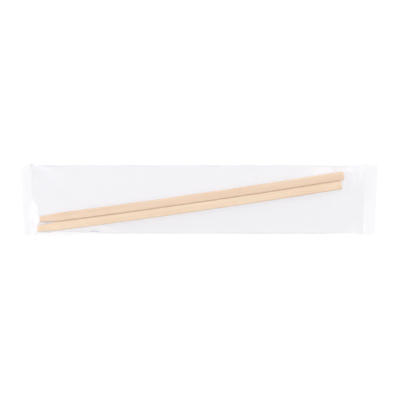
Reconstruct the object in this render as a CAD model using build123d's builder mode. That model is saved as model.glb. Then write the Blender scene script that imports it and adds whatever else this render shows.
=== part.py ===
"""A pair of bamboo chopsticks, side by side in a clear film sleeve that is sealed flat at both ends.

Frame: +X along the sleeve, from the chopsticks' tips to their handle ends, +Y across it, +Z up.
The sleeve lies flat. The origin is under the middle of its outline, on the surface it lies on.
Every size is in millimetres.
"""

import os
from math import asin, atan2, cos, degrees, hypot, sin

from build123d import *

# Chopsticks: square bars with rounded corners, drawn in to a blunt tip at one end. Split bamboo
# never lies quite straight, so the pair is bowed sideways by stick_bow in the middle
stick_length = 230.0
stick_width = 6.5
stick_height = 5.8
stick_corner = 1.1
stick_bow = 1.0
tip_length = 16.0
tip_width = 4.3
tip_height = 4.0
tip_corner = 0.9
handle_round = 0.7
tip_round = 0.5

# The pair lies from corner to corner of the sleeve, one stick pushed a little further along
side_gap = 0.1
stagger = 2.6
tip_side_gap = 1.5
handle_side_gap = 4.4
tip_end_gap = 3.7
handle_end_gap = 15.2
headroom = 0.6

# Sleeve: one web of film, two layers of it sealed together at each end
film = 0.04
body_width = 51.0
seal_spread = 1.2
tip_seal = 8.0
handle_seal = 9.4
shoulder = 3.0
tip_end_lean = 2.8
handle_end_lean = 2.2
corner_cut_x = 6.0
corner_cut_y = 3.8


# A seal is spread flat, so it is wider than the filled body between the seals
seal_width = body_width + 2 * seal_spread

# The pair's outer corners, measured from the pair's middle, give the angle that it lies at
pair_run = stick_length + stagger
handle_reach = stick_width + side_gap / 2
tip_reach = handle_reach - (stick_width - tip_width) / 2
pair_spread = body_width - tip_side_gap - handle_side_gap
corner_reach = tip_reach + handle_reach
pair_angle = asin(pair_spread / hypot(pair_run, corner_reach)) - atan2(corner_reach, pair_run)
pair_half_x = pair_run / 2 * cos(pair_angle)

# Places of the seals along the sleeve, on its centre line and measured from the pair's middle
seal_layers = 2 * film
tip_line = -pair_half_x - tip_end_gap
handle_line = pair_half_x + handle_end_gap
lowest_x = tip_line - tip_seal - tip_end_lean * (0.5 - corner_cut_y / seal_width)
highest_x = handle_line + handle_seal + handle_end_lean / 2

# The origin is in the middle of the outline, so the pair is shifted along by this much
pair_x = -(lowest_x + highest_x) / 2
tip_corner_y = -body_width / 2 + tip_side_gap
pair_y = tip_corner_y + pair_run / 2 * sin(pair_angle) + tip_reach * cos(pair_angle)

along = Vector(cos(pair_angle), sin(pair_angle), 0)
across = Vector(-sin(pair_angle), cos(pair_angle), 0)
pair_middle = Vector(pair_x, pair_y, film + stick_height / 2)

# Both sticks bend round one upright line, far off on the +Y side, so they stay side by side
bow_radius = (pair_run / 2) ** 2 / (2 * stick_bow) + stick_bow / 2
bow_centre = pair_middle + across * (bow_radius - stick_bow)


def pair_point(run, reach, height):
    """A point beside the pair: run along it and reach across it from its middle, at a height."""
    spot = pair_middle + along * run + across * reach
    return Vector(spot.X, spot.Y, height)


def stick_plane(run, reach):
    """The plane square to a bowed stick, run along it and reach across from the pair's middle."""
    turn = run / (bow_radius - reach)
    outward = along * sin(turn) - across * cos(turn)
    forward = along * cos(turn) + across * sin(turn)
    return Plane(origin=bow_centre + outward * (bow_radius - reach), x_dir=outward, z_dir=forward)


def tip_end_x(y, inward=0.0):
    """Where the leaning cut at the tip end stands at y, or a line that far inside it."""
    return pair_x + tip_line - tip_seal - tip_end_lean * y / seal_width + inward


def handle_end_x(y, inward=0.0):
    """Where the leaning cut at the handle end stands at y, or a line that far inside it."""
    return pair_x + handle_line + handle_seal + handle_end_lean * y / seal_width - inward


def make_stick(middle_reach, shift, label):
    """One chopstick, its tip towards -X, lying flat with its axis middle_reach from the pair's."""
    tip_run = shift - stick_length / 2
    tip_plane = stick_plane(tip_run, middle_reach)
    shoulder_plane = stick_plane(tip_run + tip_length, middle_reach)
    bend = degrees((stick_length - tip_length) / (bow_radius - middle_reach))
    with BuildPart() as stick:
        with BuildSketch(shoulder_plane):
            RectangleRounded(stick_width, stick_height, stick_corner)
        revolve(axis=Axis(bow_centre, (0, 0, 1)), revolution_arc=bend)
        with BuildSketch(tip_plane):
            RectangleRounded(tip_width, tip_height, tip_corner)
        with BuildSketch(shoulder_plane):
            RectangleRounded(stick_width, stick_height, stick_corner)
        loft()
        end_faces = stick.faces().sort_by(Axis(tip_plane.origin, along))
        fillet(end_faces[-1].edges(), handle_round)
        end_faces = stick.faces().sort_by(Axis(tip_plane.origin, along))
        fillet(end_faces[0].edges(), tip_round)
    stick.part.label = label
    return stick


def facet(first, second, third):
    """The plane through three points of the film, facing up and out."""
    normal = (second - first).cross(third - first).normalized()
    return Plane(origin=first, z_dir=normal if normal.Z > 0 else -normal)


# The taut film: planes from the flat edges and seals up to the outer corners of the pair
crest = film + stick_height + headroom + film
tip_crest = crest - (stick_height - tip_height) / 2
half_body = body_width / 2
cover = headroom + film

tip_low = pair_point(-pair_run / 2 - cover, -tip_reach - cover, tip_crest)
tip_high = pair_point(-pair_run / 2 - cover, tip_reach + cover, tip_crest)
neck_run = -pair_run / 2 + tip_length
neck_low = pair_point(neck_run, -handle_reach - stick_bow - cover, crest)
neck_high = pair_point(neck_run, handle_reach + cover, crest)
handle_low = pair_point(pair_run / 2 + cover, -handle_reach - stick_bow - cover, crest)
handle_high = pair_point(pair_run / 2 + cover, handle_reach + cover, crest)

tip_seal_low = Vector(tip_end_x(-half_body, tip_seal), -half_body, seal_layers)
tip_seal_high = Vector(tip_end_x(half_body, tip_seal), half_body, seal_layers)
handle_seal_low = Vector(handle_end_x(-half_body, handle_seal), -half_body, seal_layers)
handle_seal_high = Vector(handle_end_x(half_body, handle_seal), half_body, seal_layers)
low_edge = Vector(0, -half_body, 0)
high_edge = Vector(0, half_body, 0)
edge_step = Vector(1, 0, 0)

facets = [
    facet(tip_seal_low, tip_seal_high, tip_low),
    facet(handle_seal_low, handle_seal_high, handle_high),
    facet(low_edge, low_edge + edge_step, tip_low),
    facet(high_edge, high_edge + edge_step, handle_high),
    facet(neck_low, handle_low, Vector(handle_seal_low.X, -half_body, 0)),
    facet(neck_high, handle_high, Vector(tip_seal_high.X, half_body, 0)),
]


def make_tent(inset):
    """The closed shape under the taut film, or the same drawn in by inset on every side."""
    with BuildPart() as tent:
        with BuildSketch(Plane.XY.offset(inset)):
            with BuildLine():
                Polyline(
                    (tip_seal_low.X, -half_body),
                    (handle_seal_low.X, -half_body),
                    (handle_seal_high.X, half_body),
                    (tip_seal_high.X, half_body),
                    close=True,
                )
            make_face()
        extrude(amount=crest - 2 * inset)
        for side in facets:
            split(bisect_by=side.offset(-inset), keep=Keep.BOTTOM)
    return tent.part


stick_offset = (stick_width + side_gap) / 2
chopstick_left = make_stick(stick_offset, stagger / 2, "chopstick_left")
chopstick_right = make_stick(-stick_offset, -stagger / 2, "chopstick_right")
tent_outside = make_tent(0.0)
tent_inside = make_tent(film)

half_seal = seal_width / 2
with BuildPart() as film_sleeve:
    add(tent_outside)
    # Tip end: two layers sealed flat, with a corner cut off, stepping in to the body's width
    with BuildSketch():
        with BuildLine():
            Polyline(
                (tip_end_x(-half_seal), -half_seal),
                (tip_end_x(-half_seal, tip_seal), -half_seal),
                (tip_end_x(-half_body, tip_seal + shoulder), -half_body),
                (tip_end_x(half_body, tip_seal + shoulder), half_body),
                (tip_end_x(half_seal, tip_seal), half_seal),
                (tip_end_x(half_seal, corner_cut_x), half_seal),
                (tip_end_x(half_seal - corner_cut_y), half_seal - corner_cut_y),
                close=True,
            )
        make_face()
    extrude(amount=seal_layers)
    # Handle end: the same without a cut corner
    with BuildSketch():
        with BuildLine():
            Polyline(
                (handle_end_x(-half_seal), -half_seal),
                (handle_end_x(half_seal), half_seal),
                (handle_end_x(half_seal, handle_seal), half_seal),
                (handle_end_x(half_body, handle_seal + shoulder), half_body),
                (handle_end_x(-half_body, handle_seal + shoulder), -half_body),
                (handle_end_x(-half_seal, handle_seal), -half_seal),
                close=True,
            )
        make_face()
    extrude(amount=seal_layers)
    add(tent_inside, mode=Mode.SUBTRACT)
film_sleeve.part.label = "film_sleeve"

os.makedirs("parts", exist_ok=True)
for piece in (chopstick_left, chopstick_right, film_sleeve):
    export_step(piece.part, f"parts/{piece.part.label}.step")

print("the pair lies at", round(degrees(pair_angle), 2), "degrees to the sleeve")
for piece in (chopstick_left, chopstick_right, film_sleeve):
    box = piece.part.bounding_box()
    print(piece.part.label, round(piece.part.volume, 2), "mm3, box", box.min, box.max)
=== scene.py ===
# %% [markdown]
# # Bamboo chopsticks in a clear film sleeve
#
# Two bamboo sticks lie side by side in a long sleeve of clear film that is sealed flat at both
# ends. The sticks are exact solids that arrive with the frame and only need a finish. The film is
# the part that a solid can't show: a skin thinner than a hair that is pulled over the sticks,
# hangs in a slack tent to its folded edges and gathers where it is pressed flat in the seals.
# This lesson lights the pack, paints the bamboo, then works out the film by letting it settle.

# %% Load the frame
import math

import bpy
import numpy as np
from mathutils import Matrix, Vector
from mathutils.bvhtree import BVHTree


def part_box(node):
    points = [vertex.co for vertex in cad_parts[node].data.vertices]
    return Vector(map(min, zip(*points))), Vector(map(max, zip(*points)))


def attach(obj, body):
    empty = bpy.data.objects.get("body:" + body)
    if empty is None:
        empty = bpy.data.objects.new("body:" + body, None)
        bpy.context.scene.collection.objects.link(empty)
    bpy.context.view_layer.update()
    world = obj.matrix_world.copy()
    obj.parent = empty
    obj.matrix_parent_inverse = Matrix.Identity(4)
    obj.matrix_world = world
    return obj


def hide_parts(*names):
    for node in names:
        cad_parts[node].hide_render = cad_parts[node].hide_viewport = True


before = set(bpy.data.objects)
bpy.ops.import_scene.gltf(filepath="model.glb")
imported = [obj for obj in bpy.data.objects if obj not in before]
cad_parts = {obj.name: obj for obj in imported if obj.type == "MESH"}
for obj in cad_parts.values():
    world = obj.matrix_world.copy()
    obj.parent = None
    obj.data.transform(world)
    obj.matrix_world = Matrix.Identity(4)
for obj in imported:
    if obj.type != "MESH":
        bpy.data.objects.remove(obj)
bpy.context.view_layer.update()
MM = 0.001

# %% [markdown]
# ## Camera
#
# The pack is seen from straight above, as on a catalogue page. A long lens a good way up keeps the
# view nearly parallel, so the long edges stay straight. The square view is 300 mm wide, which
# leaves a margin of white round a pack of 269 mm.

# %% Camera above the middle of the pack
VIEW_WIDTH = 0.300
CAMERA_HEIGHT = 1.6
CAMERA_OVER = (0.0006, -0.0004)

lens = bpy.data.cameras.new("camera")
lens.angle = 2 * math.atan(VIEW_WIDTH / 2 / CAMERA_HEIGHT)
lens.clip_start = 0.01
camera = bpy.data.objects.new("camera", lens)
camera.location = (*CAMERA_OVER, CAMERA_HEIGHT)
bpy.context.collection.objects.link(camera)
bpy.context.scene.camera = camera
bpy.context.scene.view_settings.view_transform = "Standard"
print("camera sees", round(VIEW_WIDTH / MM), "mm at the table")

# %% [markdown]
# ## Writing finishes as sums
#
# A material or a world is easiest to read as arithmetic. `Wire` wraps a socket so that `1 - mask`
# or `grain * 0.2` adds the Math nodes for it, and `Graph.node` makes every other node: its
# settings are set first, then the values or links of its sockets.

# %% A wire with arithmetic
class Wire:
    """A value that runs through a graph's nodes, with plain arithmetic."""

    def __init__(self, graph, socket):
        self.graph, self.socket = graph, socket

    def math(self, operation, *values):
        return self.graph.node("ShaderNodeMath", {"operation": operation}, *values)

    def __add__(self, other):
        return self.math("ADD", self, other)

    def __sub__(self, other):
        return self.math("SUBTRACT", self, other)

    def __rsub__(self, other):
        return self.math("SUBTRACT", other, self)

    def __mul__(self, other):
        return self.math("MULTIPLY", self, other)

    def __pow__(self, other):
        return self.math("POWER", self, other)

    def __abs__(self):
        return self.math("ABSOLUTE", self)

    __radd__, __rmul__ = __add__, __mul__

    def between(self, low, high):
        """0 below low and 1 above high, with a soft step between them."""
        settings = {"interpolation_type": "SMOOTHSTEP"}
        return self.graph.node("ShaderNodeMapRange", settings, self, low, high, 0.0, 1.0)

    def reach(self, direction):
        """How far a place or a facing reaches in a direction."""
        settings = {"operation": "DOT_PRODUCT"}
        return self.graph.node("ShaderNodeVectorMath", settings, self, tuple(direction))

    def output(self, name):
        """Another output of the node that this wire comes from."""
        return Wire(self.graph, self.socket.node.outputs[name])


print("wires add up")


# %% A graph of nodes, and a material
def ramp_stops(made, count):
    """The stops of a Color Ramp node, with as many as asked for."""
    stops = made.color_ramp.elements
    while len(stops) < count:
        stops.new(0.5)
    return stops


class Graph:
    """The nodes of a material or of the world."""

    def __init__(self, tree):
        self.tree = tree

    def put(self, value, socket):
        if isinstance(value, Wire):
            self.tree.links.new(value.socket, socket)
        elif value is not None:
            socket.default_value = value

    def node(self, kind, settings=None, *values, **named):
        """A node with its settings, then its sockets in order, then sockets by name."""
        made = self.tree.nodes.new(kind)
        for key, setting in (settings or {}).items():
            if key == "stops":
                for stop, (place, colour) in zip(ramp_stops(made, len(setting)), setting):
                    stop.position, stop.color = place, (*colour, 1)
            else:
                setattr(made, key, setting)
        for socket, value in zip([s for s in made.inputs if s.enabled], values):
            self.put(value, socket)
        for key, value in named.items():
            self.put(value, next(s for s in made.inputs if s.enabled and s.name == key))
        return Wire(self, next(s for s in made.outputs if s.enabled))


class Material(Graph):
    """A node material with one Principled shader."""

    def __init__(self, name):
        self.data = bpy.data.materials.new(name)
        self.data.use_nodes = True
        super().__init__(self.data.node_tree)
        self.shader = self.tree.nodes["Principled BSDF"]

    def set(self, **named):
        """Sets or links sockets of the shader: Base_Color stands for Base Color."""
        for key, value in named.items():
            self.put(value, self.shader.inputs[key.replace("_", " ")])


print("shader kit ready")

# %% [markdown]
# ## Light
#
# Clear film is seen by what it mirrors, so the light decides how it looks. A pale world that is a
# little brighter towards the far side fills everything, and gives the sticks a lit and a shaded
# side without drawing a hard edge in the film. A brighter band lies all round it, low down. The
# long slopes of the film are gentle and mirror what is high above them, but a crease, a fold and
# the film's steep rise from each seal mirror the band, so the glare gathers there. Two low soft
# boxes beyond the ends add to it.

# %% World
WORLD_LEVEL = 0.62
WORLD_SLOPE = 0.30
WORLD_TINT = (0.985, 0.985, 1.0, 1)
BRIGHT_SIDE = (-0.30, 0.62, 0.72)
BAND_LEVEL = 2.0
BAND_TOP = 0.50


def make_world():
    world = bpy.data.worlds.new("room")
    world.use_nodes = True
    w = Graph(world.node_tree)
    direction = w.node("ShaderNodeTexCoord").output("Generated")
    level = direction.reach(BRIGHT_SIDE) * WORLD_SLOPE + WORLD_LEVEL
    height = w.node("ShaderNodeSeparateXYZ", {}, direction).output("Z")
    band = (1 - height.between(0.0, BAND_TOP)) * BAND_LEVEL
    background = world.node_tree.nodes["Background"]
    w.put(WORLD_TINT, background.inputs["Color"])
    w.put(level + band, background.inputs["Strength"])
    bpy.context.scene.world = world


make_world()
print("world", WORLD_LEVEL, "and a band of", BAND_LEVEL, "below", BAND_TOP)

# %% Soft boxes
# name, place in metres, width and height in metres
SOFT_BOXES = (
    ("tip_box", (-0.95, 0.10, 0.36), (1.0, 0.45)),
    ("handle_box", (0.90, 0.30, 0.40), (0.7, 0.40)),
)
SOFT_BOX_RADIANCE = 2.6


def soft_box(name, place, size):
    """An area lamp that faces the middle of the pack."""
    lamp = bpy.data.lights.new(name, "AREA")
    lamp.shape = "RECTANGLE"
    lamp.size, lamp.size_y = size
    lamp.energy = SOFT_BOX_RADIANCE * math.pi * size[0] * size[1]
    holder = bpy.data.objects.new(name, lamp)
    holder.location = place
    holder.rotation_euler = (-holder.location).to_track_quat("-Z", "Y").to_euler()
    bpy.context.collection.objects.link(holder)
    print(name, "at", place, "gives", round(lamp.energy, 2), "W")


for soft_box_facts in SOFT_BOXES:
    soft_box(*soft_box_facts)

# %% [markdown]
# ## Bamboo
#
# A stick is split from the wall of a bamboo cane and planed, so its grain is not wood grain: long
# straight fibres run its whole length, as fine pale and tan lines, with short darker dashes where
# a bundle of fibres was cut by the plane. On the cut ends the bundles show as dots. Each stick
# comes from its own piece of cane, so one is a little pinker than the other.
#
# An image of grain would stretch at the tip. Here the grain is worked out in the stick's own
# directions, in millimetres: far along it, across it, and up. Noise that is squeezed hard across
# and pulled long along the stick makes fibres of any fineness.

# %% The direction of the sticks, from their own shape
def long_direction(node):
    """The unit vector along a stick, from the spread of its vertices."""
    points = np.array([tuple(v.co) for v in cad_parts[node].data.vertices])
    spread = np.linalg.svd(points - points.mean(0), full_matrices=False)[2][0]
    return spread * np.sign(spread[0])


ALONG = long_direction("chopstick_left")
ALONG[2] = 0
ALONG /= np.linalg.norm(ALONG)
ACROSS = np.array([-ALONG[1], ALONG[0], 0.0])
STICKS = ("chopstick_left", "chopstick_right")
PAIR_REACH = np.mean([np.mean(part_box(name), axis=0) @ ACROSS / MM for name in STICKS])
print("sticks lie at", round(math.degrees(math.atan2(ALONG[1], ALONG[0])), 2), "degrees")

# %% Colours and grain of bamboo
CREAM = (1.0, 0.82, 0.61)
TAN = (0.88, 0.63, 0.40)
DARK_GRAIN_AND_SHADE = (0.50, 0.29, 0.135)
BLUSH = (0.965, 0.94, 0.955)
HALF_TAN = tuple(0.6 * cream + 0.4 * tan for cream, tan in zip(CREAM, TAN))
BUNDLES_PER_MM = 1.7
GRAIN_DEPTH = 0.00006
# How brown each mark is, from 0 to 1, and how dark the painted shade on the sticks' sides is
DASH_MARK, END_MARK, BUNDLE_MARK, PAINTED_SIDE_SHADE = 0.16, 0.22, 0.45, 0.26
print("cream", CREAM, "to tan", TAN)


# %% Bamboo material
def bamboo(name, shift, blush):
    """Planed bamboo: shift moves the grain, blush from 0 to 1 makes the stick pinker."""
    m = Material(name)
    place = m.node("ShaderNodeTexCoord").output("Object")
    along = place.reach(ALONG) * (1 / MM) + shift
    across = place.reach(ACROSS) * (1 / MM) + shift
    up = place.reach((0, 0, 1)) * (1 / MM)

    def fibres(length, width, detail=2.0):
        """Noise pulled long: length and width in mm of one light or dark streak."""
        reaches = along * (1 / length), across * (1 / width), up * (1 / width)
        spot = m.node("ShaderNodeCombineXYZ", {}, *reaches)
        return m.node("ShaderNodeTexNoise", {}, spot, Scale=1.0, Detail=detail, Roughness=0.6)

    broad = fibres(length=90.0, width=2.6)
    fine = fibres(length=38.0, width=0.34, detail=4.0)
    hair = fibres(length=14.0, width=0.13)
    dashes = fibres(length=4.2, width=0.24, detail=1.0).between(0.66, 0.74)
    streaks = fine.between(0.35, 0.72) * 0.55 + broad.between(0.3, 0.7) * 0.30 + hair * 0.15

    # The ends are cut across the fibres, so their bundles show there as dots
    facing = m.node("ShaderNodeNewGeometry").output("Normal")
    end = abs(facing.reach(ALONG)).between(0.55, 0.85)
    spot = m.node("ShaderNodeCombineXYZ", {}, across * BUNDLES_PER_MM, up * BUNDLES_PER_MM, 0.0)
    bundles = m.node("ShaderNodeTexVoronoi", {}, spot, Scale=1.0, Randomness=0.8)
    dots = 1 - bundles.between(0.16, 0.34)

    # Painted shade: faces turned across the sticks, on both sides of each, are darkened to stand in for the
    # shade in the joint where the two sticks meet
    side = abs(facing.reach(ACROSS)).between(0.25, 0.9)
    # The real dashes and end grain, plus the painted shade of the sides, all towards the same dark brown
    grain_marks_and_shade = dashes * (1 - end) * DASH_MARK + end * (END_MARK + dots * BUNDLE_MARK) + side * PAINTED_SIDE_SHADE

    grain = m.node("ShaderNodeValToRGB", {"stops": [(0.0, CREAM), (0.55, HALF_TAN), (1.0, TAN)]}, streaks)
    multiply = {"data_type": "RGBA", "blend_type": "MULTIPLY"}
    pink = m.node("ShaderNodeMix", multiply, Factor=blush, A=grain, B=(*BLUSH, 1))
    colour = m.node("ShaderNodeMix", {"data_type": "RGBA"}, Factor=grain_marks_and_shade, A=pink, B=(*DARK_GRAIN_AND_SHADE, 1))
    height = fine * 0.6 + hair * 0.4 - dashes * 0.3 - dots * end * 0.5
    m.set(
        Base_Color=colour,
        Roughness=0.46 + fine * 0.16,
        Normal=m.node("ShaderNodeBump", {}, Strength=0.35, Distance=GRAIN_DEPTH, Height=height),
        Specular_IOR_Level=0.4,
    )
    return m.data


# %% Paint the sticks
# shift of the grain in mm, blush
STICK_FINISH = {"chopstick_left": (11.0, 1.0), "chopstick_right": (47.0, 0.0)}
for node, (shift, blush) in STICK_FINISH.items():
    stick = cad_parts[node]
    stick.material_slots[0].material = bamboo(node + "_bamboo", shift, blush)
    print(node, "painted,", len(stick.data.polygons), "faces")

# %% [markdown]
# ## Table
#
# The table is a plain white sheet. Part of its white is its own light, seen by the camera, in the
# film's mirror and through clear things, but not cast on the pack, so that it reads as clean white
# paper. The rest is lit, so that the shadows of the sticks and of the film still fall on it.

# %% White table
TABLE_HALF = 3.0
TABLE_DROP = 0.0001
TABLE_LIT = 0.42
TABLE_GLOW = 0.61


def make_table():
    mesh = bpy.data.meshes.new("table")
    corners = [(x * TABLE_HALF, y * TABLE_HALF, 0) for x, y in ((-1, -1), (1, -1), (1, 1), (-1, 1))]
    mesh.from_pydata(corners, [], [(0, 1, 2, 3)])
    table = bpy.data.objects.new("table", mesh)
    table.location.z = -TABLE_DROP
    bpy.context.collection.objects.link(table)
    m = Material("white_table")
    rays = m.node("ShaderNodeLightPath")
    seen = rays.output("Is Camera Ray") + rays.output("Is Glossy Ray") + rays.output("Is Transmission Ray")
    dark, bright = (0, 0, 0, 1), (TABLE_GLOW, TABLE_GLOW, TABLE_GLOW, 1)
    glow = m.node("ShaderNodeMix", {"data_type": "RGBA"}, Factor=seen, A=dark, B=bright)
    m.set(
        Base_Color=(TABLE_LIT, TABLE_LIT, TABLE_LIT, 1),
        Roughness=0.9,
        Specular_IOR_Level=0.0,
        Emission_Color=glow,
        Emission_Strength=1.0,
    )
    mesh.materials.append(m.data)


make_table()
print("table is lit", TABLE_LIT, "and glows", TABLE_GLOW)

# %% [markdown]
# ## The film, laid out flat
#
# The sleeve is a flat tube: an upper and a lower layer joined along two folded edges. Its ends
# are cut a little out of square. The tube is described by a grid of points. Each row is a loop
# that runs across the upper layer, round the far fold and back along the lower layer, and the
# rows follow one another from the tip seal to the handle seal.

# %% Sizes of the sleeve, in millimetres from here to the mesh
FILM = 0.04
BODY_HALF = 25.5
SEAL_HALF = 26.7
FLAT_HALF = 26.4
TIP_SEAL, HANDLE_SEAL = 8.0, 9.4
TIP_LEAN, HANDLE_LEAN = 2.8, 2.2
CORNER_CUT = (6.0, 3.8)

film_low, film_high = (np.array(corner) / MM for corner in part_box("film_sleeve"))
tip_end = film_low[0] + TIP_LEAN * (0.5 - CORNER_CUT[1] / (2 * SEAL_HALF))
handle_end = film_high[0] - HANDLE_LEAN / 2


def tip_x(y, inward=0.0):
    """The cut at the tip end, or a line that far inside it."""
    return tip_end + inward - TIP_LEAN * y / (2 * SEAL_HALF)


def handle_x(y, inward=0.0):
    """The cut at the handle end, or a line that far inside it."""
    return handle_end - inward + HANDLE_LEAN * y / (2 * SEAL_HALF)


print("cuts at", round(float(tip_x(0)), 2), "and", round(float(handle_x(0)), 2), "mm")

# %% [markdown]
# The film has to rest on the sticks, so it has to know where they are. A map of their height is
# taken from their own shapes: rays are dropped on them from above, on a grid of half a
# millimetre. Each spot then takes the tallest of its neighbours, twice over, so that the film,
# whose points are further apart than that, turns its corners just outside the wood.

# %% Height of the pair under a point
MAP_STEP = 0.5
MAP_MARGIN = 3.0
MAP_SPREAD = 2


def drop_rays():
    """The map's first corner and its heights, all in mm, 0 where there is no stick."""
    boxes = [[np.array(corner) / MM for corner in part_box(name)] for name in STICKS]
    low = np.min([box[0] for box in boxes], axis=0)[:2] - MAP_MARGIN
    high = np.max([box[1] for box in boxes], axis=0)[:2] + MAP_MARGIN
    heights = np.zeros([int(n) for n in (high - low) / MAP_STEP])
    depsgraph = bpy.context.evaluated_depsgraph_get()
    for name in STICKS:
        tree = BVHTree.FromObject(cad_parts[name], depsgraph)
        for i, j in np.ndindex(heights.shape):
            x, y = low + np.array([i, j]) * MAP_STEP
            hit = tree.ray_cast(Vector((x * MM, y * MM, 1)), Vector((0, 0, -1)))[0]
            if hit is not None:
                heights[i, j] = max(heights[i, j], hit.z / MM)
    return low, heights


def spread(heights):
    """Each spot as tall as its tallest neighbour."""
    for axis in (0, 1):
        heights = np.maximum(heights, np.maximum(np.roll(heights, 1, axis), np.roll(heights, -1, axis)))
    return heights


map_corner, pair_map = drop_rays()
for _ in range(MAP_SPREAD):
    pair_map = spread(pair_map)


def pair_height(x, y):
    """The map read at any point, evened out between its spots."""
    i = np.clip((x - map_corner[0]) / MAP_STEP, 0, pair_map.shape[0] - 1.001)
    j = np.clip((y - map_corner[1]) / MAP_STEP, 0, pair_map.shape[1] - 1.001)
    a, b = i.astype(int), j.astype(int)
    p, q = i - a, j - b
    near = pair_map[a, b] * (1 - p) + pair_map[a + 1, b] * p
    far = pair_map[a, b + 1] * (1 - p) + pair_map[a + 1, b + 1] * p
    return near * (1 - q) + far * q


print("map of", pair_map.shape, "spots, tallest", round(float(pair_map.max()), 2), "mm")

# %% [markdown]
# ## Letting the film settle
#
# Blender's cloth would do this, but film this thin and this stiff needs very many tiny steps. A
# small solver of its own is quicker and gives the same result every time. It only knows lengths:
# neighbouring points of the film must stay as far apart as they were when it lay flat, along,
# across and on the diagonals. A breath of air lifts the film, the sticks and the table hold it
# off, and each pass puts right the lengths that this spoils. What is left over buckles, and that
# is where creases come from. Working on a coarse grid first and then on two finer ones settles the
# large shape before the small creases. The air goes out of the film on the way, and on the last
# grid a faint suction draws it in.
#
# The lower layer lies flat on the table. The film has a little more length over the sticks than
# beside them, a little spare near both seals, where the tube is spread flat, and some spare width
# where the tips push close to the fold and the upper layer has to climb round them.

# %% The film's grid
ROWS, COLUMNS = 56, 12
CLOSER_AT_ENDS = 0.6


def layout(rows, columns):
    """For each point of the grid: how far along (0 to 1), how far across (-1 to 1), and whether
    it is on the upper layer. The rows are closer together near the seals, where the creases are."""
    across = np.linspace(-1, 1, columns + 1)
    loop = np.concatenate([across, across[-2:0:-1]])
    even = np.linspace(0, 1, rows + 1)
    closer = even - CLOSER_AT_ENDS * np.sin(2 * np.pi * even) / (2 * np.pi)
    u, t = np.meshgrid(closer, loop, indexing="ij")
    upper = np.zeros(u.shape, bool)
    upper[:, : columns + 1] = True
    return u, t, upper


def plan(u, t, half):
    """The flat place of each point, in a tube of that half width."""
    y = t * half
    return tip_x(y, TIP_SEAL) * (1 - u) + handle_x(y, HANDLE_SEAL) * u, y


ARCH_HEIGHT = 6.6
ARCH_POWER = 6
ARCH_RUN = 4.0
TIP_LIFT, HANDLE_LIFT = 1.9, 1.0
TIP_LIFT_Y, HANDLE_LIFT_Y = -15.0, 12.0
LIFT_REACH = 15.0


def lift_at(y, at_tip):
    """How far the sticks prop a seal line up off the table."""
    height, place = (TIP_LIFT, TIP_LIFT_Y) if at_tip else (HANDLE_LIFT, HANDLE_LIFT_Y)
    return height * np.exp(-(((y - place) / LIFT_REACH) ** 2))


def seal_rows(points, columns):
    """Puts the first and last row on the seal lines, one layer of film above the other."""
    u, t, upper = layout(points.shape[0] - 1, columns)
    x, y = plan(u, t, SEAL_HALF)
    for row, at_tip in ((0, True), (-1, False)):
        z = np.where(upper[row], 2 * FILM, 0.0)
        z[[0, columns]] = FILM
        points[row] = np.stack([x[row], y[row], z + lift_at(y[row], at_tip)], -1)


def first_shape(rows, columns):
    """A loose tunnel that stands clear of the sticks."""
    u, t, upper = layout(rows, columns)
    x, y = plan(u, t, BODY_HALF)
    arch = (1 - np.abs(t) ** ARCH_POWER) ** (1 / ARCH_POWER)
    from_end = np.minimum(u, 1 - u) * (handle_end - tip_end)
    z = np.where(upper, 0.1 + ARCH_HEIGHT * arch * np.sqrt(np.clip(from_end / ARCH_RUN, 0, 1)), 0.0)
    points = np.stack([x, y, z], -1)
    seal_rows(points, columns)
    return points


def refine(points, columns):
    """Twice as many rows and columns, the new points half way between the old."""
    finer = np.zeros((2 * points.shape[0] - 1, 2 * points.shape[1], 3))
    finer[::2, ::2] = points
    finer[::2, 1::2] = (points + np.roll(points, -1, 1)) / 2
    finer[1::2] = (finer[:-1:2] + finer[2::2]) / 2
    seal_rows(finer, 2 * columns)
    return finer


print("coarse grid", ROWS, "by", COLUMNS)

# %% Numbers of the solver
# spare length along the film, as shares of it
SPARE_OVER_STICKS = 0.012
SPARE_BESIDE = 0.0005
SPARE_AT_SEALS = 0.002
PAIR_HALF_REACH = 13.0
SEAL_REACH = 16.0
# spare width across it, and how far in from the seal it fades, in mm
ROUND_TIPS, TIP_REACH = 0.042, 85.0
ROUND_HANDLES, HANDLE_REACH = 0.022, 55.0
# what holds the film, in mm, and as a share of the half width
PROPPED = 4.0
LYING_SHARE = 0.97
SPREAD_REACH = 3.0
CLEARANCE = 0.12
# how it moves, in mm a step
AIR = (0.0024, 0.0004, -0.0002)
ROUGH_START = 0.03
TOP_SPEED = 0.3
DAMPING = 0.9
PASSES = 4
print("spare over the sticks", SPARE_OVER_STICKS, "and beside them", SPARE_BESIDE)


# %% Lengths that the film keeps
def hold(points, first, second, rest, free, strength):
    """Moves two sets of points so that each pair is rest apart again."""
    gap = points[second] - points[first]
    length = np.sqrt((gap * gap).sum(-1)) + 1e-9
    share = free[first] + free[second]
    push = np.where(share > 0, strength * (length - rest) / length / np.maximum(share, 1), 0)
    points[first] += gap * (push * free[first])[..., None]
    points[second] -= gap * (push * free[second])[..., None]


def springs(rows, columns, along_rest, across_rest):
    """Every pair of neighbours as index sets in which no point comes twice, with its length."""
    loop = np.arange(2 * columns)
    sets = []
    for start in (0, 1):
        first = np.arange(start, rows, 2)
        sets.append((np.ix_(first, loop), np.ix_(first + 1, loop), along_rest[first], 1.0))
        every = np.arange(rows + 1)
        side = loop[start::2]
        sets.append((np.ix_(every, side), np.ix_(every, (side + 1) % len(loop)), across_rest[:, side], 1.0))
        for turn in (1, -1):
            for column in (0, 1):
                side = loop[column::2]
                rest = np.hypot(along_rest[np.ix_(first, side)], across_rest[np.ix_(first, side)])
                pair = np.ix_(first, side), np.ix_(first + 1, (side + turn) % len(loop))
                sets.append((*pair, rest, 0.5))
    return sets


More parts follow.
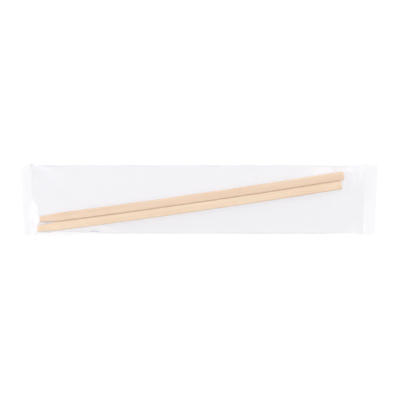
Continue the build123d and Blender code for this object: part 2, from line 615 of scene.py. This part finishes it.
def lengths(u, t, upper, columns):
    """How long the film is from row to row and from column to column, with its spare."""
    home_x, home_y = plan(u, t, BODY_HALF)
    flat_x, flat_y = plan(u, t, FLAT_HALF)
    from_end = np.minimum(u, 1 - u) * (handle_end - tip_end)
    near_seal = np.exp(-((from_end / SEAL_REACH) ** 2))
    reach = home_x * ACROSS[0] + home_y * ACROSS[1] - PAIR_REACH
    over = np.exp(-((reach / PAIR_HALF_REACH) ** 2))
    spare = SPARE_BESIDE * (1 - t**6) + SPARE_OVER_STICKS * over + SPARE_AT_SEALS * near_seal * (1 - t**4)
    along_rest = np.diff(flat_x, axis=0) * (1 + spare * upper)[:-1]

    from_tip, from_handle = u * (handle_end - tip_end), (1 - u) * (handle_end - tip_end)
    spare = ROUND_TIPS * np.exp(-((from_tip / TIP_REACH) ** 2))
    spare += ROUND_HANDLES * np.exp(-((from_handle / HANDLE_REACH) ** 2))
    across_rest = 2 * FLAT_HALF / columns * (1 + (spare + SPARE_AT_SEALS * near_seal) * upper)
    return along_rest, across_rest


print("the solver keeps lengths along, across and on both diagonals")


# %% What holds the film, and settling it
def outward(points):
    """The direction out of the film at each point, 0 on the two seal lines."""
    tangent = np.zeros_like(points)
    tangent[1:-1] = points[2:] - points[:-2]
    normal = np.cross(tangent, np.roll(points, -1, 1) - np.roll(points, 1, 1))
    normal /= np.sqrt((normal**2).sum(-1, keepdims=True)) + 1e-9
    return normal


def ease(points, columns, smooth, movable):
    """Takes the sharpest bends out, along the film and then across it but not at the folds."""
    bend = np.zeros_like(points)
    bend[1:-1] = (points[2:] + points[:-2]) / 2 - points[1:-1]
    points += bend * smooth * movable
    bend = (np.roll(points, -1, 1) + np.roll(points, 1, 1)) / 2 - points
    bend[:, [0, columns]] = 0
    points += bend * smooth * movable


def settle(points, columns, steps, air, smooth, seed):
    rows = points.shape[0] - 1
    u, t, upper = layout(rows, columns)
    home_x, home_y = plan(u, t, BODY_HALF)
    home = np.stack([home_x, home_y, np.zeros_like(u)], -1)
    from_end = np.minimum(u, 1 - u) * (handle_end - tip_end)
    free = np.ones(u.shape)
    free[[0, -1]] = 0
    movable = free[..., None]
    lying = ~upper & (np.abs(t) < LYING_SHARE) & (free > 0) & (from_end > PROPPED)
    edge = BODY_HALF + (SEAL_HALF - BODY_HALF) * np.exp(-((from_end / SPREAD_REACH) ** 2))
    pairs = springs(rows, columns, *lengths(u, t, upper, columns))

    rng = np.random.default_rng(seed)
    points = points.copy()
    points[1:-1, :, 2] += rng.normal(0, ROUGH_START, u.shape)[1:-1] * upper[1:-1]
    speed = np.zeros_like(points)
    for _ in range(steps):
        normal = outward(points)
        before = points.copy()
        points += (speed * DAMPING + normal * air) * movable
        for _ in range(PASSES):
            for first, second, rest, strength in pairs:
                hold(points, first, second, rest, free, strength)
            ease(points, columns, smooth, movable)
            top = points[1:-1, 1:columns]
            top[..., 2] = np.maximum(top[..., 2], pair_height(top[..., 0], top[..., 1]) + CLEARANCE)
            points[..., 2] = np.maximum(points[..., 2], 0)
            points[lying] = home[lying]
            points[..., 1] = np.clip(points[..., 1], -edge, edge)
        speed = np.clip(points - before, -TOP_SPEED, TOP_SPEED)
    return points


print("held by the table, the sticks and the two seals")

# %% Settle it, coarse to fine
# steps and smoothing on each grid
SETTLING = ((150, 0.20), (90, 0.08), (90, 0.03))

film_points = first_shape(ROWS, COLUMNS)
film_columns = COLUMNS
for level, (steps, smooth) in enumerate(SETTLING):
    if level > 0:
        film_points = refine(film_points, film_columns)
        film_columns *= 2
    film_points = settle(film_points, film_columns, steps, AIR[level], smooth, 1 + level)
print("film settled:", film_points.shape, "top at", round(float(film_points[..., 2].max()), 2), "mm")

# %% [markdown]
# ## Folds set by handling
#
# Film remembers being pinched. At the handle end, where the tube is spread flat for its seal, a
# sharp fold runs from the seal's far corner down to the ends of the sticks, and shorter ones
# branch off it and off the seal line. Each is a ridge with straight sides along a line between two
# places, highest in its middle. They are added to the settled film rather than simulated, so that
# each can be placed.

# %% Ridges of the upper layer
# start and end in mm, height in mm, half width in mm
far_corner = (float(handle_x(SEAL_HALF, HANDLE_SEAL)), SEAL_HALF)
stick_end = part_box("chopstick_right")[1][0] / MM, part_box("chopstick_right")[1][1] / MM
FOLDS = (
    (far_corner, (stick_end[0] + 2.5, stick_end[1]), 2.4, 2.2),
    ((far_corner[0] - 4.6, 21.0), (far_corner[0] - 5.4, 10.0), 1.3, 1.5),
    ((far_corner[0] - 9.0, 17.5), (far_corner[0] - 10.0, 6.5), 1.1, 1.4),
    ((stick_end[0] + 1.5, 12.5), (stick_end[0] - 16.0, 5.5), 0.9, 1.1),
    ((stick_end[0] + 1.0, 20.5), (stick_end[0] + 9.0, 18.5), 0.7, 1.0),
    ((stick_end[0] + 0.5, 15.5), (stick_end[0] + 1.5, 6.5), 1.0, 1.1),
    ((stick_end[0] - 2.0, 14.5), (stick_end[0] + 3.0, 10.5), 0.8, 0.9),
    ((far_corner[0] - 10.5, -19.5), (far_corner[0] - 9.0, -25.0), 1.0, 1.2),
    ((far_corner[0] - 1.0, -4.0), (far_corner[0] - 8.0, -8.5), 0.5, 1.2),
    ((-124.5, 16.0), (-116.0, 5.0), 0.6, 1.6),
    ((-124.0, -2.0), (-117.0, -11.0), 0.7, 1.6),
)


def fold_film(points, columns):
    x, y = points[:, 1:columns, 0], points[:, 1:columns, 1]
    for start, end, height, half_width in FOLDS:
        start, end = np.array(start), np.array(end)
        run = end - start
        share = ((x - start[0]) * run[0] + (y - start[1]) * run[1]) / (run @ run)
        inside = np.clip(share, 0, 1)
        aside = np.hypot(x - start[0] - inside * run[0], y - start[1] - inside * run[1])
        ridge = np.clip(1 - aside / half_width, 0, 1) * np.sin(np.pi * np.clip(inside, 0.02, 0.98)) ** 0.5
        points[1:-1, 1:columns, 2] += (height * ridge)[1:-1]


fold_film(film_points, film_columns)
print(len(FOLDS), "folds, film now up to", round(float(film_points[..., 2].max()), 2), "mm")

# %% [markdown]
# ## From points to film
#
# The grid is the outside of the film. Its inside is the same grid moved in by the film's
# thickness, closed to a line at each seal, so that the body is a real skin with a hollow in it.
# Beyond each seal line the two layers are one strip. Heated jaws press a waffle of small
# pyramids into it, and it doesn't lie quite flat: it lifts in shallow waves towards the cut.
# The strip has three times as many columns as the body, so that the waffle is real relief. The
# cut end and the two sides of the strip are closed by a rim one seal thick.

# %% Inside of the film
FOLD_GAP = 0.12
SEAL_GAP = 0.1
LEAST_LOWER, LEAST_UPPER = 0.9 * FILM, 1.4 * FILM


def normals_of(points):
    rows_way = np.gradient(points, axis=0)
    loop_way = np.roll(points, -1, 1) - np.roll(points, 1, 1)
    normal = np.cross(rows_way, loop_way)
    return normal / (np.sqrt((normal**2).sum(-1, keepdims=True)) + 1e-9)


def inside_of(points, columns):
    inner = points - normals_of(points) * FILM
    lower = inner[:, columns + 1 :]
    lower[..., 2] = np.maximum(lower[..., 2], LEAST_LOWER)
    upper_part = inner[:, 1:columns]
    upper_part[..., 2] = np.maximum(upper_part[..., 2], LEAST_UPPER)
    for fold, way in ((0, 1), (columns, -1)):
        inner[:, fold] = points[:, fold] + np.array([0, way * FOLD_GAP, 0])
    for row, way in ((0, 1), (-1, -1)):
        inner[row] = points[row] + np.array([way * SEAL_GAP, 0, 0])
        inner[row, :, 1] *= 1 - FOLD_GAP / SEAL_HALF
        inner[row, :, 2] = FILM + lift_at(points[row, :, 1], way == 1)
    return inner


film_inside = inside_of(film_points, film_columns)
film_gap = np.linalg.norm(film_points - film_inside, axis=-1)
print("inside and outside are", round(float(film_gap.min()), 3), "mm apart at the least")

# %% Points and faces

class FilmMesh:
    """Collects points and faces, then makes the film's mesh."""

    def __init__(self):
        self.points, self.faces = [], []

    def add(self, grid):
        """Adds a grid of points and returns their numbers in the same grid."""
        start = len(self.points)
        self.points.extend(grid.reshape(-1, 3))
        return np.arange(start, len(self.points)).reshape(grid.shape[:-1])

    def skin(self, numbers, flip=False):
        """Faces between neighbouring rows and columns of a grid of point numbers."""
        for upper, lower in zip(numbers[:-1], numbers[1:]):
            for a, b, c, d in zip(upper[:-1], lower[:-1], lower[1:], upper[1:]):
                face = list(dict.fromkeys([a, b, c, d]))
                if len(face) > 2:
                    self.faces.append(face if flip else face[::-1])


print("faces are listed anticlockwise as seen from outside")

# %% Seal strips
WAFFLE_PITCH = 2.0
WAFFLE_HEIGHT = 0.50
WAFFLE_FADE = 6
SEAL_SPLIT = 3
SEAL_STEP = 0.36
PROP_FADE = 1.4


def waffle(x, y):
    """Crossing ridges pressed by the jaws, from 0 to 1."""
    along, across = np.cos(2 * np.pi * x / WAFFLE_PITCH), np.cos(2 * np.pi * y / WAFFLE_PITCH)
    return (2 + along + across) / 4


def waves(y):
    """Shallow waves across a seal, from 0 to 1."""
    return (np.sin(y * 0.21 + 0.8) + 0.6 * np.sin(y * 0.47 + 2.1) + 1.6) / 3.2


def seal_strip(film, row_numbers, columns, at_tip, line_x, end_x, length, relief, lift):
    """The flat strip beyond one end row of the body: the point numbers of its upper and lower
    side. The first row of each is the body's own end row."""
    count = columns * SEAL_SPLIT
    t = np.linspace(-1, 1, count + 1)
    steps = int(round(length / SEAL_STEP))
    y = t * SEAL_HALF
    s = np.linspace(0, 1, steps + 1)[:, None]
    x = line_x(y) * (1 - s) + end_x(y) * s
    fade = np.clip(s * WAFFLE_FADE, 0, 1)
    propped = lift_at(y, at_tip) * (1 - s) ** PROP_FADE
    height = fade * relief * WAFFLE_HEIGHT * waffle(x, y[None]) + lift * s**1.5 * waves(y) + propped
    grid = np.stack([x, np.broadcast_to(y, x.shape), height], -1)
    upper, lower = film.add(grid[1:] + np.array([0, 0, 2 * FILM])), film.add(grid[1:])

    def first_row(corners):
        """The body's end row with the strip's extra columns put between its points."""
        places = np.array([film.points[k] for k in corners])
        extra = [places[:-1] + (places[1:] - places[:-1]) * k / SEAL_SPLIT for k in range(1, SEAL_SPLIT)]
        numbers = film.add(np.stack(extra, 1))
        return np.append(np.column_stack([corners[:-1], numbers]).ravel(), corners[-1])

    top_row = first_row(row_numbers[: columns + 1])
    bottom_row = first_row(np.append(row_numbers[columns:], row_numbers[0])[::-1])
    return np.vstack([top_row, upper]), np.vstack([bottom_row, lower])


print("waffle every", WAFFLE_PITCH, "mm,", WAFFLE_HEIGHT, "mm deep")


# %% The whole film
def join_body(film, next_row, strip_row, flip):
    """Faces between the body's end row, with the strip's extra points in it, and the next row."""
    for k in range(len(next_row) - 1):
        span = list(strip_row[k * SEAL_SPLIT : (k + 1) * SEAL_SPLIT + 1])
        face = span + [next_row[k + 1], next_row[k]]
        film.faces.append(face if flip else face[::-1])


def cut_tip(y):
    """The tip end's cut, with one corner taken off."""
    over = np.clip((y - (SEAL_HALF - CORNER_CUT[1])) / CORNER_CUT[1], 0, 1)
    return tip_x(y) + over * CORNER_CUT[0]


# at the tips or not, seal line, cut, length in mm, share of the waffle, lift of the cut in mm
ENDS = (
    (True, lambda y: tip_x(y, TIP_SEAL), cut_tip, TIP_SEAL, 0.7, 0.7),
    (False, lambda y: handle_x(y, HANDLE_SEAL), handle_x, HANDLE_SEAL, 1.0, 0.5),
)


def make_film():
    film, columns = FilmMesh(), film_columns
    body = film.add(film_points)
    loop = np.column_stack([body, body[:, 0]])
    film.skin(loop[1:-1], flip=True)
    for at_tip, *shape in ENDS:
        row, next_row = (body[0], body[1]) if at_tip else (body[-1], body[-2])
        top, bottom = seal_strip(film, row, columns, at_tip, *shape)
        lower_next = np.append(next_row[columns:], next_row[0])[::-1]
        join_body(film, next_row[: columns + 1], top[0], flip=not at_tip)
        join_body(film, lower_next, bottom[0], flip=at_tip)
        film.skin(top, flip=not at_tip)
        film.skin(bottom, flip=at_tip)
        rims = (
            (np.column_stack([top[:, 0], bottom[:, 0]]), at_tip),
            (np.column_stack([top[:, -1], bottom[:, -1]]), not at_tip),
            (np.column_stack([top[-1], bottom[-1]]), at_tip),
        )
        for rim, flip in rims:
            film.skin(rim, flip=flip)
    inner = film.add(film_inside)
    for row in (0, -1):
        inner[row, columns + 1 :] = inner[row, 1:columns][::-1]
    film.skin(np.column_stack([inner, inner[:, 0]]))

    mesh = bpy.data.meshes.new("film_sleeve_skin")
    places = (np.array(film.points) * MM).tolist()
    mesh.from_pydata(places, [], [[int(k) for k in face] for face in film.faces])
    mesh.validate()
    mesh.polygons.foreach_set("use_smooth", [True] * len(mesh.polygons))
    skin = bpy.data.objects.new("film_sleeve_skin", mesh)
    bpy.context.collection.objects.link(skin)
    return skin


skin = make_film()
print("film mesh:", len(skin.data.vertices), "points,", len(skin.data.polygons), "faces")

# %% [markdown]
# ## Clear film
#
# Real film of this kind lets nearly all light through and mirrors a few hundredths of it at each
# surface, and more where it is seen at a slant. So the material lets the light through and mixes in
# a mirror: a small share face on, growing towards the folds. The mirror isn't perfect: rolling
# leaves faint lines along the film, and handling leaves a slight haze.

# %% Film material
FACE_ON = 0.026
AT_SEALS = 0.05
EDGE_RISE = 5.0
PASSED = (0.996, 0.9945, 0.999, 1)
MIRRORED = (0.95, 0.945, 0.99, 1)
ROLLED = (12.0, 900.0, 900.0)
ROLLED_DEPTH = 0.00002
HAZE_SCALE = 60.0
HAZE_LOW, HAZE_SPAN = 0.85, 0.3
# how far the seals' stronger mirror fades in, in mm inside the seal line and beyond it
FADE_IN, FADE_OUT = 0.5, 1.5


def clear_film():
    m = Material("clear_film")
    place = m.node("ShaderNodeTexCoord").output("Object")
    drawn = m.node("ShaderNodeMapping", {}, place, Scale=ROLLED)
    lines = m.node("ShaderNodeTexNoise", {}, drawn, Scale=1.0, Detail=3.0)
    haze = m.node("ShaderNodeTexNoise", {}, place, Scale=HAZE_SCALE, Detail=3.0)
    slant = m.node("ShaderNodeLayerWeight", {}, Blend=0.5).output("Facing")

    side = m.node("ShaderNodeSeparateXYZ", {}, place).output("X")
    tip_line, handle_line = tip_x(0, TIP_SEAL), handle_x(0, HANDLE_SEAL)
    tip_side = 1 - side.between((tip_line - FADE_OUT) * MM, (tip_line + FADE_IN) * MM)
    handle_side = side.between((handle_line - FADE_IN) * MM, (handle_line + FADE_OUT) * MM)
    sealed = (tip_side + handle_side) * AT_SEALS
    share = (FACE_ON + sealed + slant**EDGE_RISE * (1 - FACE_ON)) * (HAZE_LOW + haze * HAZE_SPAN)

    m.set(
        Base_Color=MIRRORED,
        Metallic=1.0,
        Roughness=0.04 + haze * 0.08,
        Normal=m.node("ShaderNodeBump", {}, Strength=0.1, Distance=ROLLED_DEPTH, Height=lines),
    )
    through = m.node("ShaderNodeBsdfTransparent", {}, PASSED)
    mirror = Wire(m, m.shader.outputs[0])
    mixed = m.node("ShaderNodeMixShader", {}, share, through, mirror)
    m.put(mixed, m.tree.nodes["Material Output"].inputs["Surface"])
    return m.data


skin.data.materials.append(clear_film())
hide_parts("film_sleeve")
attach(skin, "root")
print("clear film mirrors", FACE_ON, "face on and", AT_SEALS, "more at the seals")
